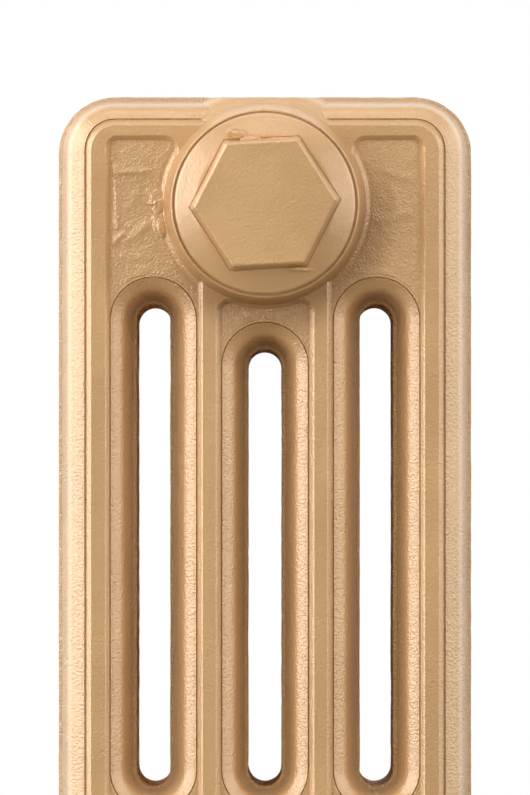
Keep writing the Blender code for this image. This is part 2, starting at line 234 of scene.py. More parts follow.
def cylinderAt(name, radius, low, high, sides):
    obj = added(bpy.ops.mesh.primitive_cylinder_add, vertices=sides, radius=radius, depth=high - low,
                location=(0, 0, (low + high) / 2))
    obj.name = name
    settle(obj)
    return obj


def boxAt(place, size):
    obj = added(bpy.ops.mesh.primitive_cube_add, size=1, location=place, scale=size)
    settle(obj)
    return obj


def bevelEdges(obj, width, segments):
    bevel = obj.modifiers.new("edges", "BEVEL")
    bevel.width, bevel.segments = width, segments
    applyModifiers(obj)


# start, end and middle of a piece along the row
def alongRow(node):
    low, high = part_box(node)
    return low.y, high.y, (low.y + high.y) / 2


# turns a piece made along +Z to -Y or +Y, and places it
def faceAlongY(obj, facing, place):
    obj.rotation_euler = (-facing * math.pi / 2, 0, 0)
    obj.location = place
    settle(obj)
    return obj


def finishPiece(obj, node, material, angle=30, body="radiator"):
    smoothBy(obj, angle)
    obj.data.materials.clear()
    obj.data.materials.append(materials[material])
    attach(obj, body)
    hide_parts(node)
    obj.name = obj.data.name = node + "_look"


# values go in as they are, and the output of another node as a link
def feed(tree, node, values):
    for label, value in values.items():
        if isinstance(value, bpy.types.NodeSocket):
            tree.links.new(value, node.inputs[label])
        else:
            node.inputs[label].default_value = value
    return node


def newMaterial(name, metallic, roughness):
    material = bpy.data.materials.new(name)
    material.use_nodes = True
    shader = material.node_tree.nodes["Principled BSDF"]
    feed(material.node_tree, shader, {"Metallic": metallic, "Roughness": roughness})
    return material, material.node_tree, shader


# an input without a value is a vector
def newGroup(name, inputs, outputs):
    group = bpy.data.node_groups.new(name, "ShaderNodeTree")
    for label, value in inputs.items():
        kind = "Vector" if value is None else "Color" if isinstance(value, tuple) else "Float"
        socket = group.interface.new_socket(label, in_out="INPUT", socket_type="NodeSocket" + kind)
        if value is not None:
            socket.default_value = value
    for label, kind in outputs.items():
        group.interface.new_socket(label, in_out="OUTPUT", socket_type="NodeSocket" + kind)
    return group, group.nodes.new("NodeGroupInput").outputs, group.nodes.new("NodeGroupOutput")


def addNode(tree, kind, values={}, **settings):
    node = tree.nodes.new("ShaderNode" + kind)
    for key, value in settings.items():
        setattr(node, key, value)
    return feed(tree, node, values)


def addGroup(tree, group, values):
    return addNode(tree, "Group", node_tree=group, values=values).outputs


def objectCoords(tree):
    return addNode(tree, "TexCoord").outputs["Object"]


def mathNode(tree, operation, *values, clamp=False):
    node = addNode(tree, "Math", dict(enumerate(values)), operation=operation, use_clamp=clamp)
    return node.outputs[0]


def inverse(tree, value):
    return mathNode(tree, "SUBTRACT", 1.0, value)


def splitNode(tree, vector):
    return addNode(tree, "SeparateXYZ", {"Vector": vector}).outputs


def noiseNode(tree, vector, scale, detail=3.0, rough=0.55):
    values = {"Vector": vector, "Scale": scale, "Detail": detail, "Roughness": rough}
    return addNode(tree, "TexNoise", values).outputs["Fac"]


def rampNode(tree, value, low, high):
    values = {"Value": value, "From Min": low, "From Max": high}
    return addNode(tree, "MapRange", values, interpolation_type="SMOOTHSTEP").outputs["Result"]


def mixColours(tree, share, first, second, blend="MIX"):
    node = addNode(tree, "Mix", data_type="RGBA", blend_type=blend)
    return feed(tree, node, {"Factor": share, 6: first, 7: second}).outputs[2]


grainScales = {  # texture scales, per metre
    "pebble": 1350.0,
    "sand": 1300.0,
    "swell": 110.0,
    "peel": 1000.0,
    "pit": 210.0,
    "pitPatch": 60.0,
    "cloud": 28.0,
    "flake": 3200.0,
}
grainLevels = {
    "sand": (0.35, 0.7),
    "pitRim": (0.05, 0.16),
    "pitPatch": (0.56, 0.66),
    "swell": 0.8,
    "cloud": (0.3, 0.7),
    "flake": 0.35,
    "darkening": -0.8,
}


# height of painted cast iron: pebbles on the floors, sand on the walls, pits and orange peel
def makeCastGrain():
    inputs = {"Vector": None, "Pebble": 1.0, "Sand": 0.0, "Peel": 0.3, "Pits": 0.3}
    group, entry, leave = newGroup("castGrain", inputs, {"Height": "Float", "Pit Mask": "Float"})
    vector = entry["Vector"]
    pebble = noiseNode(group, vector, grainScales["pebble"], 2.0, 0.5)
    sand = rampNode(group, noiseNode(group, vector, grainScales["sand"], 3.0, 0.65), *grainLevels["sand"])
    swell = noiseNode(group, vector, grainScales["swell"], 2.0, 0.5)
    peel = noiseNode(group, vector, grainScales["peel"], 3.0, 0.55)
    cells = addNode(group, "TexVoronoi", {"Vector": vector, "Scale": grainScales["pit"]})
    pit = inverse(group, rampNode(group, cells.outputs["Distance"], *grainLevels["pitRim"]))
    patch = noiseNode(group, vector, grainScales["pitPatch"], 1.0)
    pitMask = mathNode(group, "MULTIPLY", pit, rampNode(group, patch, *grainLevels["pitPatch"]))
    height = mathNode(group, "MULTIPLY", pebble, entry["Pebble"])
    for share, amount in ((sand, entry["Sand"]), (swell, grainLevels["swell"]), (peel, entry["Peel"])):
        height = mathNode(group, "MULTIPLY_ADD", share, amount, height)
    dip = mathNode(group, "MULTIPLY", pitMask, entry["Pits"])
    feed(group, leave, {"Height": mathNode(group, "SUBTRACT", height, dip), "Pit Mask": pitMask})
    return group


# masks for the castings' walls and sunken floors, from the level over the parting plane
def makeCastLevels():
    inputs = {"Vector": None, "Centre": 0.0, "Pitch": 0.06, "Floor": 0.018}
    group, entry, leave = newGroup("castLevels", inputs, {"Wall": "Float", "Floor": "Float"})
    along = mathNode(group, "SUBTRACT", splitNode(group, entry["Vector"])["Y"], entry["Centre"])
    level = mathNode(group, "PINGPONG", along, mathNode(group, "MULTIPLY", entry["Pitch"], 0.5))
    share = mathNode(group, "DIVIDE", level, entry["Floor"])
    below = inverse(group, rampNode(group, share, 1.03, 1.06))
    floor = mathNode(group, "MULTIPLY", below, rampNode(group, share, 0.95, 0.99))
    feed(group, leave, {"Wall": inverse(group, rampNode(group, share, 0.45, 0.8)), "Floor": floor})
    return group


# colour and roughness of sprayed paint, a little uneven, with flakes, and darker where the Darkening mask is
# set
def makePaintTone():
    inputs = {"Vector": None, "Light": (1, 1, 1, 1), "Deep": (0.5, 0.5, 0.5, 1), "Rough Low": 0.4,
              "Rough High": 0.5, "Darkening": 0.0}
    group, entry, leave = newGroup("paintTone", inputs, {"Color": "Color", "Roughness": "Float"})
    vector = entry["Vector"]
    cloud = noiseNode(group, vector, grainScales["cloud"], 4.0, 0.6)
    flake = noiseNode(group, vector, grainScales["flake"], 1.0, 0.5)
    blend = mathNode(group, "MULTIPLY_ADD", flake, grainLevels["flake"],
                     rampNode(group, cloud, *grainLevels["cloud"]))
    # the colour goes towards the deep tone where the Darkening mask is set; the gold paints set it in the
    # pits
    blend = mathNode(group, "MULTIPLY_ADD", entry["Darkening"], grainLevels["darkening"], blend, clamp=True)
    low, high = grainLevels["cloud"]
    span = addNode(group, "MapRange", {
        "Value": cloud, "From Min": low, "From Max": high, "To Min": entry["Rough Low"],
        "To Max": entry["Rough High"]})
    feed(group, leave, {"Color": mixColours(group, blend, entry["Deep"], entry["Light"]),
                        "Roughness": span.outputs["Result"]})
    return group


# radii and lean of the painted shade at the foot of each boss
paintedBossShadeSpan = {
    "foot": (0.0322, 0.034),  # radii between which it sets in, and between which it ends
    "end": (0.036, 0.049),
    "side": (-0.1, 0.9),
    "lean": 0.5,  # how far the painted shade leans to the right
}


# mask of painted shade in the pocket at the foot of each boss, on the side towards the slots, where the
# boss's shadow falls and the colour is darkened
def makePaintedBossShade():
    group, entry, leave = newGroup("paintedBossShade", {"Vector": None, "Middle": 0.198, "Reach": 0.125},
                                   {"Mask": "Float"})
    split = splitNode(group, entry["Vector"])
    fold = mathNode(group, "ABSOLUTE", mathNode(group, "SUBTRACT", split["Z"], entry["Middle"]))
    inwards = mathNode(group, "SUBTRACT", entry["Reach"], fold)
    across = split["X"]
    square = mathNode(group, "MULTIPLY", inwards, inwards)
    radius = mathNode(group, "SQRT", mathNode(group, "MULTIPLY_ADD", across, across, square))
    ring = mathNode(group, "MULTIPLY", rampNode(group, radius, *paintedBossShadeSpan["foot"]),
                    inverse(group, rampNode(group, radius, *paintedBossShadeSpan["end"])))
    lean = mathNode(group, "MULTIPLY_ADD", across, paintedBossShadeSpan["lean"], inwards)
    side = rampNode(group, mathNode(group, "DIVIDE", lean, radius), *paintedBossShadeSpan["side"])
    feed(group, leave, {"Mask": mathNode(group, "MULTIPLY", ring, side)})
    return group


castGrain = makeCastGrain()
paintedBossShade = makePaintedBossShade()
castLevels = makeCastLevels()
paintTone = makePaintTone()

goldPaint = {
    "light": (0.74, 0.435, 0.18, 1),
    "deep": (0.65, 0.37, 0.145, 1),
    "paintedShade": (0.64, 0.56, 0.44, 1),  # multiplies the colour in the bosses' pockets, painted shade where the bosses' shadows fall
    "metallic": 0.22,
    "roughness": (0.4, 0.5),
    "coat": 1.0,
    "coatRoughness": 0.28,
    "coatIor": 2.0,
}
grainGains = {  # gain and start of each
    "floorPebble": (0.75, 0.62),
    "wallSand": 1.3,
    "hexagon": (0.1262, 0.13),  # distances from the middle of the row
    "hexagonPeel": (0.9, 0.3),
    "hexagonPebble": (0.45, 0.25),
}


def addBump(tree, shader, height, distance, isCoated):
    bump = addNode(tree, "Bump", {"Strength": 1.0, "Distance": distance, "Height": height})
    for label in ("Normal", "Coat Normal") if isCoated else ("Normal",):
        feed(tree, shader, {label: bump.outputs["Normal"]})


# satin paint: grain depends on the level, and on plugs it is strongest on the hexagon
def goldPaintMaterial(name, isCasting, peel, pits, bumpDistance):
    material, tree, shader = newMaterial(name, goldPaint["metallic"], 0.4)
    coords = objectCoords(tree)
    grainInputs = {"Vector": coords, "Peel": peel, "Pits": pits}
    if isCasting:
        centre = alongRow("end_section_near")[2]
        levels = addGroup(tree, castLevels, {"Centre": centre, "Vector": coords})
        grainInputs["Pebble"] = mathNode(tree, "MULTIPLY_ADD", levels["Floor"], *grainGains["floorPebble"])
        grainInputs["Sand"] = mathNode(tree, "MULTIPLY", levels["Wall"], grainGains["wallSand"])
    else:
        middle = (alongRow("blanking_plug")[0] + alongRow("bush_far")[1]) / 2
        reach = mathNode(tree, "SUBTRACT", splitNode(tree, coords)["Y"], middle)
        head = rampNode(tree, mathNode(tree, "ABSOLUTE", reach), *grainGains["hexagon"])
        grainInputs["Peel"] = mathNode(tree, "MULTIPLY_ADD", head, *grainGains["hexagonPeel"])
        grainInputs["Pebble"] = mathNode(tree, "MULTIPLY_ADD", head, *grainGains["hexagonPebble"])
    grain = addGroup(tree, castGrain, grainInputs)
    tone = addGroup(tree, paintTone, {
        "Vector": coords, "Light": goldPaint["light"], "Deep": goldPaint["deep"],
        "Rough Low": goldPaint["roughness"][0], "Rough High": goldPaint["roughness"][1],
        "Darkening": grain["Pit Mask"]})
    colour = tone["Color"]
    # painted shade: in the bosses' pockets the colour is multiplied darker, where the bosses' shadows fall
    if isCasting:
        low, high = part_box("middle_section_1")
        shade = addGroup(tree, paintedBossShade, {"Vector": coords, "Middle": (low.z + high.z) / 2})
        colour = mixColours(tree, shade["Mask"], colour, goldPaint["paintedShade"], "MULTIPLY")
    feed(tree, shader, {
        "Base Color": colour, "Roughness": tone["Roughness"], "Coat Weight": goldPaint["coat"],
        "Coat Roughness": goldPaint["coatRoughness"], "Coat IOR": goldPaint["coatIor"]})
    addBump(tree, shader, grain["Height"], bumpDistance, True)
    return material


# bare metal, rubber or fibre: two tones, uneven roughness and a fine grain
def metalMaterial(name, light, deep, metallic, roughness, grainSize, bumpDistance, streak=1.0):
    material, tree, shader = newMaterial(name, metallic, roughness[0])
    stretch = addNode(tree, "Mapping", {"Scale": (1, streak, 1), "Vector": objectCoords(tree)})
    vector = stretch.outputs["Vector"]
    tone = addGroup(tree, paintTone, {"Vector": vector, "Light": light, "Deep": deep,
                                      "Rough Low": roughness[0], "Rough High": roughness[1]})
    feed(tree, shader, {"Base Color": tone["Color"], "Roughness": tone["Roughness"]})
    addBump(tree, shader, noiseNode(tree, vector, 1 / grainSize), bumpDistance, False)
    return material


materials = {
    "casting": goldPaintMaterial("gold_paint_casting", True, 0.9, 0.6, 0.00026),
    "plug": goldPaintMaterial("gold_paint_plug", False, 1.1, 0.2, 0.00022),
    "iron": metalMaterial("bare_iron", (0.2, 0.19, 0.18, 1), (0.1, 0.085, 0.075, 1),
                          0.9, (0.42, 0.62), 0.0006, 0.0001),
    "fibre": metalMaterial("graphite_fibre", (0.1, 0.095, 0.09, 1), (0.045, 0.04, 0.038, 1),
                           0.0, (0.75, 0.9), 0.0004, 0.00012),
    "brass": metalMaterial("turned_brass", (0.8, 0.6, 0.28, 1), (0.66, 0.45, 0.17, 1),
                           1.0, (0.2, 0.32), 0.0003, 0.00002, 12.0),
    "rubber": metalMaterial("seal_rubber", (0.03, 0.03, 0.03, 1), (0.015, 0.015, 0.015, 1),
                            0.0, (0.5, 0.65), 0.0003, 0.00003),
}
print("materials ready")


casting = {
    "columnPitch": 0.0383,
    "slotHalfWidth": 0.0056,
    "cornerRadius": 0.0196,
    "sideSlotDrop": 0.0713,  # slot tops, below the top of the casting
    "middleSlotDrop": 0.0868,
    "slotBottomDrop": 0.2367,
    "hubDrop": 0.037,
    "lip": 0.0012,  # the parting line's flat lip, and half its thickness
    "lipHalf": 0.001,
    "lipRise": 0.0009,
    "rollWidth": 0.00945,
    "steepSlope": 79,  # the roll is steep above the lip and gentle next to the floor, in degrees
    "gentleSlope": 27,
    "slopeTurn": (0.16, 0.6),  # where it starts to turn from steep to gentle, and over how much, as shares
    "rowPlaces": (7, 14, 21, 28, 34, 40, 47, 56, 68, 84, 100),  # its rows of vertices, in percent
    "grooveWidth": 0.0004,  # the crease where the roll meets the floor
    "grooveDepth": 0.0006,
    "floor": 0.018,  # level of the sunken floor, from the parting plane
    "crownLift": 0.00142,  # the roll is narrower at the top and bottom ends
    "crownReach": 0.03,
    "outlineGap": 0.0025,
}
ribs = {
    "level": 0.02,
    "bevel": 0.0018,
    "bury": 0.0004,
    "endInset": 0.0082,
    "cornerRadius": 0.0105,
    "panelLeft": 0.0531,  # the side cells' edges and tops, measured at the ribs' foot
    "panelRight": 0.0231,
    "panelDrop": 0.0152,
    "panelInner": 0.0315,
    "middleHalf": 0.01515,
    "middleDrop": 0.0712,
    "middleRadius": 0.003,
    "panelRadii": [0.0022, 0.0032, 0.004, 0.003, 0.003, 0.004, 0.0032, 0.0022],
    "slopeRows": [(0.88, 0.24), (0.66, 0.52), (0.4, 0.78), (0.16, 0.93)],
}
hubs = {
    "baseRadius": 0.0347,
    "faceRadius": 0.0323,
    "length": 0.0293,
    "boreRadius": 0.0213,
    "edge": 0.0005,
    "ringDepth": 0.0009,  # of the crease round the plug's flange
    "skirt": 0.0361,  # where the boss meets the sunken floors; it spreads further over the rolls
    "inset": 0.0006,
}
plugs = {
    "flangeRadius": 0.031,
    "flangeEdge": 0.0028,
    "coneRise": 0.0026,
    "hexFootRadius": 0.0258,  # to the corners, where the hexagon meets the cone, and on top
    "hexTopRadius": 0.0245,
    "moatWidth": 0.0004,  # the crease round the hexagon's foot
    "moatDepth": 0.0004,
    "hexHeight": 0.006,
    "hexTurn": 3.0,
    "places": [  # name, which way it faces, which hub it is in, radius of its hole
        ("blanking_plug", -1, "top", 0),
        ("air_vent_plug", 1, "top", 0.0061),
        ("bush_near", -1, "bottom", 0.0096),
        ("bush_far", 1, "bottom", 0.0096),
    ],
    "hexEdge": 0.0009,
    "spigotRadius": 0.0209,
    "spigotLength": 0.016,
    "hollowRadius": 0.015,
    "hollowDepth": 0.017,
    "threadPitch": 0.0023,
    "threadDepth": 0.0009,
    "seat": 0.0014,
    # sags of paint at the near hexagon: place from its middle, distance out, size, turn in degrees
    "sags": [
        ((-0.0095, 0.024), 0.1342, (0.0034, 0.0011, 0.0016), 4),
        ((-0.005, 0.0222), 0.1348, (0.0032, 0.0009, 0.0009), 3),
        ((0.0068, 0.0218), 0.1365, (0.0052, 0.001, 0.0008), 3),
        ((0.0125, -0.0226), 0.135, (0.004, 0.0008, 0.0007), 4),
    ],
}
feet = {
    "outer": 0.0006,  # insets from the casting's edge
    "inner": 0.029,
    "throat": 0.034,
    "waist": 0.0024,
    "waistDrop": 0.012,
    "root": 0.03,
    "below": 0.0093,  # cut off at the floor afterwards
    "radii": [0.004, 0.03, 0.004, 0.004, 0.02, 0.008, 0.006, 0.004],
}
core = {"wall": 0.004, "bevel": 0.006}
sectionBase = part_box("middle_section_1")[0].z
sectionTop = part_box("middle_section_1")[1].z
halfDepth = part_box("middle_section_1")[1].x
hubHeights = {"top": sectionTop - casting["hubDrop"], "bottom": sectionBase + casting["hubDrop"]}


def slotSpans():
    tops = (casting["sideSlotDrop"], casting["middleSlotDrop"], casting["sideSlotDrop"])
    return [(index * casting["columnPitch"], sectionTop - casting["slotBottomDrop"], sectionTop - drop)
            for index, drop in zip((-1, 0, 1), tops)]


# lip, wall, shoulder and crease, as shares of the way in and of the way up
def rollRows():
    width = casting["rollWidth"]
    height = casting["floor"] - casting["lipHalf"]
    lip, groove = casting["lip"], casting["grooveWidth"]
    samples = 100
    climb = [0]
    turnStart, turnSpan = casting["slopeTurn"]
    for i in range(samples):
        turn = min(1, max(0, (i / samples - turnStart) / turnSpan))
        turn = turn * turn * (3 - 2 * turn)
        slope = casting["steepSlope"] + (casting["gentleSlope"] - casting["steepSlope"]) * turn
        climb.append(climb[-1] + math.tan(math.radians(slope)))
    rows = [(1 - lip / width, casting["lipRise"] / height)]
    for sample in casting["rowPlaces"]:
        across = lip + (width - lip - groove) * sample / samples
        up = casting["lipRise"] + (height - casting["lipRise"]) * climb[sample] / climb[-1]
        rows.append((1 - across / width, up / height))
    rows.append((groove / width / 2, 1 - casting["grooveDepth"] / height))
    return rows


# the parting line is ragged and the rolls are slightly wavy, as castings are
def roughenRolls(obj, seed):
    def rag(height, scale):
        return height * noise.noise(place * scale)

    floor = casting["floor"]
    normals = [vertex.normal.copy() for vertex in obj.data.vertices]
    for vertex, normal in zip(obj.data.vertices, normals):
        level = abs(vertex.co.y)
        if level > floor - 0.0005:
            continue
        place = vertex.co + Vector((seed, 0, 0))
        wave = 0.00013 + rag(0.00008, 55) + rag(0.00005, 210)
        if level < 0.0012:
            wave += max(0, rag(0.00022, 260)) + max(0, rag(0.00012, 620))
        outwards = Vector((normal.x, 0, normal.z))
        if outwards.length > 0.1:
            vertex.co -= outwards.normalized() * wave * (floor - level) / floor


# the roll is narrower at both ends of the casting
def liftCrown(obj):
    middle = (sectionTop + sectionBase) / 2
    for vertex in obj.data.vertices:
        side = 1 if vertex.co.z > middle else -1
        end = sectionTop if side > 0 else sectionBase
        near = 1 - abs(end - vertex.co.z) / casting["crownReach"]
        if near <= 0:
            continue
        near = min(1, near * 1.6)
        share = abs(vertex.co.y) / casting["floor"]
        vertex.co.z += side * casting["crownLift"] * near * near * (3 - 2 * near) * share ** 2


def sectionOutline(inset, steps):
    return roundedOutline(inset - halfDepth, halfDepth - inset, sectionBase + inset, sectionTop - inset,
                          casting["cornerRadius"] - inset, steps)


def castSlab():
    gap = casting["outlineGap"]
    outlines = [spread(sectionOutline(0, 14), gap)]
    for centre, bottom, top in slotSpans():
        outlines.append(spread(slotOutline(centre, bottom, top, casting["slotHalfWidth"], 20), gap))
    slab = rolledPlate("slab", outlines, casting["lipHalf"], casting["rollWidth"],
                       casting["floor"] - casting["lipHalf"], rollRows())
    roughenRolls(slab, 0)
    liftCrown(slab)
    return slab


# the three sunken cells at the ribs' foot: the side cells open into panels by the hubs
def cellOutlines():
    outlines = []
    low, high = sectionBase + ribs["panelDrop"], sectionTop - ribs["panelDrop"]
    hubHigh, hubLow = hubHeights["top"], hubHeights["bottom"]
    for side in (-1, 1):
        outer, inner, right = ribs["panelLeft"], ribs["panelInner"], ribs["panelRight"]
        corners = [(outer, low), (inner, low), (inner - 0.001, hubLow + 0.01), (right, hubLow + 0.02),
                   (right, hubHigh - 0.02), (inner - 0.001, hubHigh - 0.01), (inner, high), (outer, high)]
        outline = roundCorners([(side * x, z) for x, z in corners], ribs["panelRadii"], 6)
        outlines.append(outline if side > 0 else outline[::-1])
    half = ribs["middleHalf"]
    outlines.append(roundedOutline(-half, half, sectionBase + ribs["middleDrop"],
                                   sectionTop - ribs["middleDrop"], ribs["middleRadius"], 6))
    return outlines


# the raised frame and ribs, a plate as thick as the casting with the cells let through it
def castRibs():
    inset = casting["rollWidth"] + 0.0001
    foot = ribs["bevel"]
    frameOutline = roundedOutline(inset - halfDepth, halfDepth - inset, sectionBase + ribs["endInset"],
                                  sectionTop - ribs["endInset"], ribs["cornerRadius"], 14)
    rise = ribs["level"] - casting["floor"] + ribs["bury"]
    return rolledPlate("ribs", [frameOutline] + cellOutlines(), ribs["level"] - rise, foot, rise,
                       ribs["slopeRows"])


# a boss with a fillet at its foot and a rounded rim
def castHub(height, facing):
    reach, skirt, foot = hubs["length"], hubs["skirt"], casting["floor"] + 0.00015
    ring, sunk = plugs["flangeRadius"] + 0.0001, reach - hubs["ringDepth"]
    profile = [(0, reach, 0), (plugs["flangeRadius"] - 0.0004, reach, 0), (ring - 0.0001, sunk, 0),
               (ring + 0.0005, sunk, 0), (ring + 0.0006, reach, 0), (hubs["faceRadius"], reach, hubs["edge"]),
               (hubs["baseRadius"], foot + 0.0006, 0.0011), (skirt, foot - 0.0001, 0.0004),
               (skirt + 0.003, foot - 0.0036, 0.0018), (skirt + 0.005, 0.008, 0),
               (skirt + 0.005, 0.004, 0), (0, 0.004, 0)]
    boss = turnedPiece("hub", roundedProfile(profile, 5), 96)
    faceAlongY(boss, facing, (0, 0, height))
    outline = sectionOutline(hubs["inset"], 14)
    combine(boss, rolledPlate("limit", [outline], 0.04, 0.0001, 0.0001), "INTERSECT")
    return boss


# the outer column carried down, drawn in a little and out to a flat pad
def castFoot(side):
    outer, inner, waist = halfDepth - feet["outer"], halfDepth - feet["inner"], feet["waist"]
    throat, base, root = halfDepth - feet["throat"], -feet["below"], sectionBase + feet["root"]
    narrow = sectionBase - feet["waistDrop"]
    corners = [(outer, root), (outer - waist, narrow), (outer, base), (inner, base), (inner + waist, narrow),
               (inner + 0.001, sectionBase + 0.004), (throat, sectionBase + 0.014), (throat, root)]
    outline = roundCorners([(side * x, z) for x, z in corners], feet["radii"], 8)
    foot = rolledPlate("foot", [spread(outline, casting["outlineGap"])], casting["lipHalf"],
                       casting["rollWidth"], casting["floor"] - 0.0006 - casting["lipHalf"], rollRows())
    roughenRolls(foot, side)
    editMode(foot)
    bpy.ops.mesh.bisect(plane_co=(0, 0, 0), plane_no=(0, 0, 1), use_fill=True, clear_inner=True,
                        threshold=0.000001)
    objectMode()
    return foot


def castCore():
    wall = core["wall"]
    outlines = [sectionOutline(wall, 6)]
    for centre, bottom, top in slotSpans():
        outlines.append(slotOutline(centre, bottom - wall, top + wall, casting["slotHalfWidth"] + wall, 8))
    rise = core["bevel"] * 1.5
    return rolledPlate("core", outlines, casting["floor"] - wall - rise, core["bevel"], rise,
                       [(0.7, 0.6), (0.35, 0.88)])


def castSection(withFeet):
    section = castSlab()
    combine(section, castRibs(), "UNION")
    for height in hubHeights.values():
        for facing in (-1, 1):
            combine(section, castHub(height, facing), "UNION")
    if withFeet:
        for side in (-1, 1):
            combine(section, castFoot(side), "UNION")
    combine(section, castCore(), "DIFFERENCE")
    for height in hubHeights.values():
        bore = cylinderAt("bore", hubs["boreRadius"], -0.05, 0.05, 64)
        combine(section, faceAlongY(bore, -1, (0, 0, height)), "DIFFERENCE")
    return section


def segmentDistance(x, z, start, end):
    along = Vector((end[0] - start[0], end[1] - start[1]))
    away = Vector((x - start[0], z - start[1]))
    share = min(1, max(0, away.dot(along) / max(along.dot(along), 1e-12)))
    return (away - along * share).length


# how far a point of the sunken floor is from its edges; drop is measured from the end of the casting
def floorMask(x, drop):
    span, halfPitch = abs(x), casting["columnPitch"]
    slotReach = casting["slotHalfWidth"] + casting["rollWidth"] + 0.0001
    sideDrop = casting["sideSlotDrop"] + casting["slotHalfWidth"]
    middleDrop = casting["middleSlotDrop"] + casting["slotHalfWidth"]
    edges = [math.hypot(x, drop - casting["hubDrop"]) - hubs["skirt"], drop - ribs["panelDrop"],
             ribs["panelLeft"] - span, math.hypot(span - halfPitch, min(0, drop - sideDrop)) - slotReach,
             math.hypot(span, min(0, drop - middleDrop)) - slotReach]
    if span > (ribs["panelRight"] + ribs["middleHalf"]) / 2:
        edges.append(span - ribs["panelRight"])
    else:
        edges.append(ribs["middleHalf"] - span)
    return min(1, max(0, min(edges) / skin["fade"]))


skin = {
    "grid": 0.0005,
    "fade": 0.0008,
    "lift": 0.00013,
    "dive": 0.0006,  # how far its edges go below the flat casting
    "depth": 0.082,
    "waves": ((300, 1.0), (640, 0.7), (80, 2.0)),  # scale and share of each
    "lumpWaves": ((1.3, 0.35), (3.1, 0.18)),
    "bead": 0.00038,
    # casting flaws on the near end: start and end across and below the top, half width, height
    "flaws": [
        ((-0.0515, 0.0245), (-0.0506, 0.045), 0.00085, 0.0006),
        ((-0.0505, 0.0262), (-0.04, 0.0258), 0.001, 0.00042),
        ((-0.0518, 0.0503), (-0.0488, 0.0472), 0.001, 0.00065),
        ((-0.048, 0.05), (-0.0405, 0.0445), 0.0015, 0.0004),
        ((-0.047, 0.038), (-0.044, 0.034), 0.0016, 0.0002),
        ((0.042, 0.026), (0.05, 0.0285), 0.0015, 0.00022),
        ((0.04, 0.043), (0.049, 0.04), 0.0016, 0.00025),
        ((0.044, 0.033), (0.045, 0.037), 0.0014, 0.0002),
        ((-0.009, 0.0765), (-0.005, 0.0755), 0.0008, 0.00025),
    ],
    # lumps beside the near boss: place across and below the top, level, size, turn in degrees
    "lumps": [
        ((-0.0368, 0.0362), 0.018, (0.003, 0.0012, 0.004), 8),
        ((-0.0362, 0.044), 0.018, (0.0024, 0.0011, 0.0046), -14),
        ((-0.0385, 0.037), 0.0183, (0.0022, 0.0008, 0.0008), 10),
        ((-0.0376, 0.034), 0.0183, (0.0016, 0.0008, 0.0007), -35),
        ((-0.0372, 0.0405), 0.0183, (0.0014, 0.0007, 0.0008), 40),
    ],
}


# the pebbled sunken floors round one hub, just proud of the casting
def floorSkin(name, facing, end, flawed):
    step, depth = skin["grid"], skin["depth"]
    columns, lines = round(2 * ribs["panelLeft"] / step), round((depth - ribs["panelDrop"]) / step)
    points, masks = [], []
    for line in range(lines + 1):
        drop = ribs["panelDrop"] + line * step
        for column in range(columns + 1):
            x = column * step - ribs["panelLeft"]
            mask = floorMask(x, drop)
            masks.append(mask)
            level = casting["floor"] - skin["dive"] * (1 - mask)
            if mask:
                place = Vector((x, drop, 3.7 * facing + end))
                rough = sum(share * noise.noise(place * scale) for scale, share in skin["waves"])
                level += skin["lift"] * (1 + rough) * mask
                if flawed:
                    for start, finish, reach, amount in skin["flaws"]:
                        away = segmentDistance(x, drop, start, finish) * (1 + 0.4 * noise.noise(place * 300))
                        level += amount * math.exp(-(away / reach) ** 2) * min(1, 2 * mask)
            points.append((x, facing * level, sectionTop - drop if end > 0 else sectionBase + drop))
    faces = []
    for line in range(lines):
        for column in range(columns):
            first = line * (columns + 1) + column
            corners = (first, first + 1, first + columns + 2, first + columns + 1)
            if any(masks[corner] for corner in corners):
                faces.append(corners if end * facing < 0 else corners[::-1])
    mesh = bpy.data.meshes.new(name)
    mesh.from_pydata(points, [], faces)
    piece = linked(name, mesh)
    editMode(piece)
    bpy.ops.mesh.delete_loose()
    objectMode()
    return piece


# an uneven blob, half buried, turned in the XZ plane
def lump(name, place, size, turn, seed):
    blob = added(bpy.ops.mesh.primitive_ico_sphere_add, subdivisions=4, radius=1)
    blob.name = name
    (coarse, coarseShare), (fine, fineShare) = skin["lumpWaves"]
    for vertex in blob.data.vertices:
        vertex.co *= (1 + coarseShare * noise.noise(vertex.co * coarse + Vector((seed, 0, 0)))
                      + fineShare * noise.noise(vertex.co * fine + Vector((0, seed, 0))))
    blob.scale = size
    blob.rotation_euler = (0, math.radians(turn), 0)
    blob.location = place
    settle(blob)
    return blob


# ragged bead of paint round the plug, rougher towards the top
def roughBead(radius, level, height):
    bead = added(bpy.ops.mesh.primitive_torus_add, major_radius=radius, minor_radius=skin["bead"],
                 major_segments=320, minor_segments=8, rotation=(math.pi / 2, 0, 0))
    settle(bead)
    for vertex in bead.data.vertices:
        spoke = Vector((vertex.co.x, 0, vertex.co.z)).normalized()
        ragged = 0.0001 + 0.00022 * max(0, spoke.z)
        vertex.co += (vertex.co - spoke * radius).normalized() * ragged * noise.noise(vertex.co * 700)
        vertex.co += spoke * ragged * 0.8 * noise.noise(spoke * 22)
    bead.location = (0, -level, height)
    settle(bead)
    return bead


def joinPieces(target, others):
    pick(target)
    for other in others:
        other.select_set(True)
    bpy.ops.object.join()
    return target


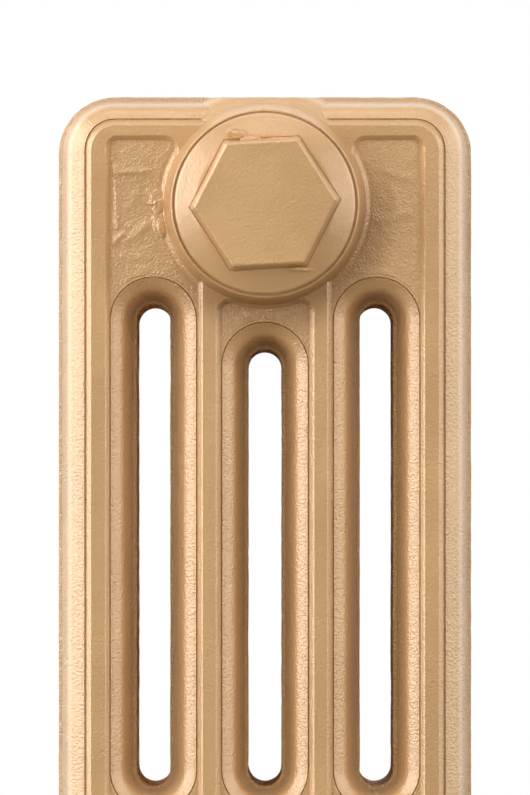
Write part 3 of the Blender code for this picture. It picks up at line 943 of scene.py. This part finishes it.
def placeSections():
    plain, legged = castSection(False), castSection(True)
    for node in ("end_section_near", "middle_section_1", "middle_section_2", "end_section_far"):
        middle = alongRow(node)[2]
        source = legged if node.startswith("end") else plain
        section = copyPiece(source, node, (0, middle, 0))
        if node.startswith("end"):
            facing = -1 if node.endswith("near") else 1
            extras = [floorSkin("skin", facing, end, facing < 0 < end) for end in (-1, 1)]
            if facing < 0:
                beadRadius, beadLevel = hubs["faceRadius"] - 0.0003, hubs["length"] - 0.0005
                extras.append(roughBead(beadRadius, beadLevel, hubHeights["top"]))
                for index, ((x, drop), level, size, turn) in enumerate(skin["lumps"]):
                    extras.append(lump("lump", (x, -level, sectionTop - drop), size, turn, index * 5.3))
            for piece in extras:
                piece.location.y = middle
                settle(piece)
            joinPieces(section, extras)
        finishPiece(section, node, "casting", 19)
        print(node, len(section.data.polygons), "faces")
    for source in (plain, legged):
        bpy.data.objects.remove(source)


placeSections()


# zigzag thread flanks from one height down to another
def threadProfile(radius, start, end, pitch, depth):
    count = int((start - end) / pitch)
    points = []
    for i in range(count):
        crest = start - (i + 0.25) * pitch
        root = start - (i + 0.75) * pitch
        points += [(radius, crest), (radius - depth, root)]
    return points


# flange, cone and threaded spigot are turned, and the drafted hexagon stands on the cone
def makePlug(name, holeRadius):
    flange, edge, rise = plugs["flangeRadius"], plugs["flangeEdge"], plugs["coneRise"]
    lift = edge + rise
    spigot = plugs["spigotRadius"]
    outer = [(0, lift, 0), (plugs["hexFootRadius"] - 0.003, lift, 0.0015), (flange, edge - 0.0004, 0.0009),
             (flange, 0, 0.0005), (spigot, 0, 0)]
    profile = roundedProfile(outer, 5)
    bottom = -plugs["spigotLength"]
    profile += threadProfile(spigot, -0.001, bottom + 0.001, plugs["threadPitch"], plugs["threadDepth"])
    hollow = plugs["hollowRadius"]
    top = bottom + plugs["hollowDepth"]
    profile += [(spigot - 0.0008, bottom), (hollow, bottom), (hollow, top), (0, top)]
    plug = turnedPiece(name, profile, 96)
    foot, top = plugs["hexFootRadius"], plugs["hexTopRadius"]
    hexTurn = math.radians(90 + plugs["hexTurn"])
    lowered = copyPiece(plug, "lowered", (0, 0, -plugs["moatDepth"]))
    moat = cylinderAt("moat", foot + plugs["moatWidth"], lift - 0.003, lift + 0.002, 6)
    moat.rotation_euler.z = hexTurn
    settle(moat)
    combine(moat, lowered, "DIFFERENCE")
    combine(plug, moat, "DIFFERENCE")
    tall = plugs["hexHeight"]
    head = added(bpy.ops.mesh.primitive_cone_add, vertices=6, radius1=foot + (foot - top) * rise / tall,
                 radius2=top, depth=tall + rise, location=(0, 0, lift + (tall - rise) / 2),
                 rotation=(0, 0, hexTurn))
    settle(head)
    bevelEdges(head, plugs["hexEdge"], 5)
    combine(plug, head, "UNION")
    if holeRadius:
        hole = cylinderAt("hole", holeRadius, -0.03, 0.03, 64)
        combine(plug, hole, "DIFFERENCE")
    return plug


def placePlugs():
    for name, facing, level, holeRadius in plugs["places"]:
        seat = alongRow("end_section_near")[0] if facing < 0 else alongRow("end_section_far")[1]
        plug = makePlug(name, holeRadius)
        faceAlongY(plug, facing, (0, seat + facing * plugs["seat"], hubHeights[level]))
        if name == "blanking_plug":
            joinPieces(plug, [lump("sag", (x, -level, hubHeights["top"] + rise), size, turn, index * 7.7)
                              for index, ((x, rise), level, size, turn) in enumerate(plugs["sags"])])
        finishPiece(plug, name, "plug", 25)
        print(name, len(plug.data.polygons), "faces")


placePlugs()


def placeGaskets():
    for node in [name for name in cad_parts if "gasket" in name]:
        low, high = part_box(node)
        half = (high.y - low.y) / 2
        outer, inner, edge = (high.x - low.x) / 2, 0.0216, 0.0002
        corners = [(outer - 0.002, half, 0), (outer, half, edge), (outer, -half, edge), (inner, -half, edge),
                   (inner, half, edge), (outer - 0.002, half, 0)]
        gasket = turnedPiece(node, roundedProfile(corners, 2), 96)
        faceAlongY(gasket, -1, (low + high) / 2)
        finishPiece(gasket, node, "fibre", 40)


nipples = {"bore": 0.0165, "pitch": 0.0023, "depth": 0.0009, "waist": 0.002, "threadEnd": 0.0025,
           "lugWidth": 0.005, "lugReach": 0.004, "lugRoot": 0.001, "lugEdge": 0.0008}


def placeNipples():
    for node in [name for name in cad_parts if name.startswith("nipple")]:
        low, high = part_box(node)
        half, outer = (high.y - low.y) / 2, (high.x - low.x) / 2
        bore = nipples["bore"]
        pitch, depth, start = nipples["pitch"], nipples["depth"], nipples["threadEnd"]
        profile = [(bore, half), (outer - 0.001, half)]
        profile += threadProfile(outer, half - 0.0005, start, pitch, depth)
        profile += [(outer - depth, nipples["waist"]), (outer - depth, -nipples["waist"])]
        profile += threadProfile(outer, -start, 0.0005 - half, pitch, depth)
        profile += [(outer - 0.001, -half), (bore, -half), (bore, half)]
        nipple = turnedPiece(node, profile, 64)
        for side in (-1, 1):
            lug = boxAt((side * (bore - nipples["lugReach"] / 2 + nipples["lugRoot"]), 0, 0),
                        (nipples["lugReach"] + 2 * nipples["lugRoot"], nipples["lugWidth"], half * 1.2))
            bevelEdges(lug, nipples["lugEdge"], 3)
            combine(nipple, lug, "UNION")
        faceAlongY(nipple, -1, (low + high) / 2)
        finishPiece(nipple, node, "iron")


placeGaskets()
placeNipples()
print("gaskets and nipples ready")


vent = {
    "hexAcrossFlats": 0.017,
    "hexHeight": 0.004,
    "barrelRadius": 0.0062,
    "barrelLength": 0.005,
    "spigotRadius": 0.0057,
    "spigotLength": 0.02,
    "boreRadius": 0.0036,
    "boreDepth": 0.016,
    "jetRadius": 0.0011,
    "threadPitch": 0.0012,
    "threadDepth": 0.0006,
}
bleedScrew = {"stem": 0.0029, "groove": 0.002, "grooveAt": 0.0095, "grooveHalf": 0.0009, "tip": 0.002,
              "stemLength": 0.0157, "square": 0.0036, "squareEdge": 0.0003, "length": 0.0227,
              "seal": 0.0028, "sealHalf": 0.0005}


def placeVentBody():
    seat = alongRow("air_vent_body")[1] - vent["hexHeight"] - vent["barrelLength"]
    barrelTop = vent["hexHeight"] + vent["barrelLength"]
    bore, barrel = vent["boreRadius"], vent["barrelRadius"]
    spigot, jet = vent["spigotRadius"], vent["jetRadius"]
    bottom, boreEnd = -vent["spigotLength"], barrelTop - vent["boreDepth"]
    top = [(bore, barrelTop - 0.001, 0), (bore, barrelTop, 0.0003), (barrel, barrelTop, 0.0007),
           (barrel, vent["hexHeight"] / 2, 0)]
    profile = roundedProfile(top, 4) + [(spigot - 0.0006, vent["hexHeight"] / 2), (spigot - 0.0006, -0.001)]
    profile += threadProfile(spigot, -0.001, bottom + 0.001, vent["threadPitch"], vent["threadDepth"])
    profile += [(spigot - 0.0008, bottom), (jet, bottom), (jet, boreEnd), (bore, boreEnd),
                (bore, barrelTop - 0.001)]
    body = turnedPiece("vent", profile, 64)
    hexRadius = vent["hexAcrossFlats"] / math.sqrt(3)
    head = cylinderAt("hex", hexRadius, 0, vent["hexHeight"], 6)
    crown = turnedPiece("crown", [(0, vent["hexHeight"]), (hexRadius * 0.93, vent["hexHeight"]),
                                  (hexRadius * 1.02, vent["hexHeight"] - 0.0009), (hexRadius * 1.02, -0.001),
                                  (0, -0.001)], 64)
    combine(head, crown, "INTERSECT")
    combine(head, cylinderAt("bore", (bore + spigot) / 2, -0.01, 0.02, 48), "DIFFERENCE")
    combine(body, head, "UNION")
    outlet = cylinderAt("outlet", jet, 0, 0.012, 24)
    outlet.rotation_euler = (math.pi / 2, 0, 0)
    outlet.location = (0, 0, barrelTop - 2 * jet)
    settle(outlet)
    combine(body, outlet, "DIFFERENCE")
    faceAlongY(body, 1, (0, seat, hubHeights["top"]))
    finishPiece(body, "air_vent_body", "brass")


def placeBleedScrew():
    stem, groove, end = bleedScrew["stem"], bleedScrew["groove"], bleedScrew["stemLength"]
    grooveLow = bleedScrew["grooveAt"] - bleedScrew["grooveHalf"]
    grooveHigh = bleedScrew["grooveAt"] + bleedScrew["grooveHalf"]
    corners = [(0, end, 0), (stem, end, 0.0004), (stem, grooveHigh, 0.0001), (groove, grooveHigh, 0.0001),
               (groove, grooveLow, 0.0001), (stem, grooveLow, 0.0001), (stem, bleedScrew["tip"], 0.0003),
               (stem / 4, 0, 0.0002), (0, 0, 0)]
    screw = turnedPiece("screw", roundedProfile(corners, 3), 48)
    sunk = end - 0.001
    head = boxAt((0, 0, (bleedScrew["length"] + sunk) / 2),
                 (bleedScrew["square"], bleedScrew["square"], bleedScrew["length"] - sunk))
    bevelEdges(head, bleedScrew["squareEdge"], 3)
    combine(screw, head, "UNION")
    faceAlongY(screw, 1, (0, alongRow("bleed_screw")[0], hubHeights["top"]))
    finishPiece(screw, "bleed_screw", "brass", body="vent_screw")


def placeBleedSeal():
    low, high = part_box("bleed_seal")
    seal = added(bpy.ops.mesh.primitive_torus_add, major_radius=bleedScrew["seal"],
                 minor_radius=bleedScrew["sealHalf"], major_segments=48, minor_segments=16,
                 location=(low + high) / 2, rotation=(math.pi / 2, 0, 0))
    settle(seal)
    finishPiece(seal, "bleed_seal", "rubber", 60, "vent_seal")


placeVentBody()
placeBleedScrew()
placeBleedSeal()
print("air vent ready")


studio = {
    "lens": 1140.0,
    "sensor": 36.0,
    "frameHeight": 0.2733,  # what the view takes in at the first casting's middle plane, in metres
    "centreHeight": 0.2567,
    "cameraHeight": 0.215,
    "clip": (0.1, 60),
    "floorRadius": 3.0,
    "floorRough": (0.6, 0.7),
    "floorLight": (0.9, 0.895, 0.885, 1),
    "floorDeep": (0.88, 0.875, 0.865, 1),
    "floorOnObject": (0.07, 0.07, 0.07, 1),  # what the floor throws back onto the object
    "background": 1.0,
    "ambient": 0.22,  # light from the camera's side, and from behind the object
    "ambientBehind": 1.2,
    "ambientColour": (1.0, 0.98, 0.95, 1),
    "aim": (0, 0, 0.22),
    "softboxes": [  # name, place, width, height, power, colour
        ("key_left", (-1.65, -0.85, 0.5), 1.9, 1.9, 37, (1.0, 0.99, 0.975)),
        ("fill_right", (1.65, -0.85, 0.5), 1.9, 1.8, 18, (1.0, 0.99, 0.975)),
        ("rim_left", (-1.5, 0.8, 0.5), 1.2, 1.8, 12, (1, 1, 1)),
        ("rim_right", (1.5, 0.8, 0.5), 1.2, 1.8, 4, (1, 1, 1)),
        ("top", (0.0, -1.0, 1.75), 1.6, 0.9, 8, (1, 1, 1)),
        ("front", (0, -4.0, 0.5), 1.5, 1.5, 46, (1, 1, 1)),
    ],
}


def placeFloor():
    floor = added(bpy.ops.mesh.primitive_circle_add, vertices=128, radius=studio["floorRadius"],
                  fill_type="NGON")
    floor.name = "floor"
    material, tree, shader = newMaterial("pale_floor", 0.0, 0.6)
    low, high = studio["floorRough"]
    tone = addGroup(tree, paintTone, {"Vector": objectCoords(tree), "Light": studio["floorLight"],
                                      "Deep": studio["floorDeep"], "Rough Low": low, "Rough High": high})
    path = addNode(tree, "LightPath")
    colour = mixColours(tree, path.outputs["Is Camera Ray"], studio["floorOnObject"], tone["Color"])
    feed(tree, shader, {"Base Color": colour, "Roughness": tone["Roughness"]})
    floor.data.materials.append(material)


def placeCamera():
    middle = alongRow("end_section_near")[2]
    distance = studio["frameHeight"] * studio["lens"] / studio["sensor"]
    camera = added(bpy.ops.object.camera_add, location=(0, middle - distance, studio["cameraHeight"]))
    camera.data.lens = studio["lens"]
    camera.data.sensor_width = studio["sensor"]
    camera.data.clip_start, camera.data.clip_end = studio["clip"]
    aim = Vector((0, middle, studio["centreHeight"])) - camera.location
    camera.rotation_euler = aim.to_track_quat("-Z", "Y").to_euler()
    bpy.context.scene.camera = camera


def addSoftbox(name, place, width, height, power, colour):
    light = added(bpy.ops.object.light_add, type="AREA", location=place)
    light.name = name
    light.data.shape = "RECTANGLE"
    light.data.size = width
    light.data.size_y = height
    light.data.energy = power
    light.data.color = colour
    light.rotation_euler = (Vector(studio["aim"]) - Vector(place)).to_track_quat("-Z", "Y").to_euler()
    light.visible_glossy = name != "front"  # the front one fills, and leaves no reflection


def lightStudio():
    world = bpy.data.worlds.new("studio")
    bpy.context.scene.world = world
    world.use_nodes = True
    tree = world.node_tree
    tree.nodes.clear()
    seen = addNode(tree, "Background", {"Color": (1, 1, 1, 1), "Strength": studio["background"]})
    direction = addNode(tree, "TexCoord").outputs["Generated"]
    share = rampNode(tree, splitNode(tree, direction)["Y"], -0.1, 0.5)
    rise = studio["ambientBehind"] - studio["ambient"]
    strength = mathNode(tree, "MULTIPLY_ADD", share, rise, studio["ambient"])
    soft = addNode(tree, "Background", {"Color": studio["ambientColour"], "Strength": strength})
    path = addNode(tree, "LightPath")
    mix = addNode(tree, "MixShader", {
        "Fac": path.outputs["Is Camera Ray"], 1: soft.outputs["Background"], 2: seen.outputs["Background"]})
    addNode(tree, "OutputWorld", {"Surface": mix.outputs["Shader"]})
    for softbox in studio["softboxes"]:
        addSoftbox(*softbox)
    bpy.context.scene.view_settings.view_transform = "Standard"


placeFloor()
placeCamera()
lightStudio()
print("studio ready")
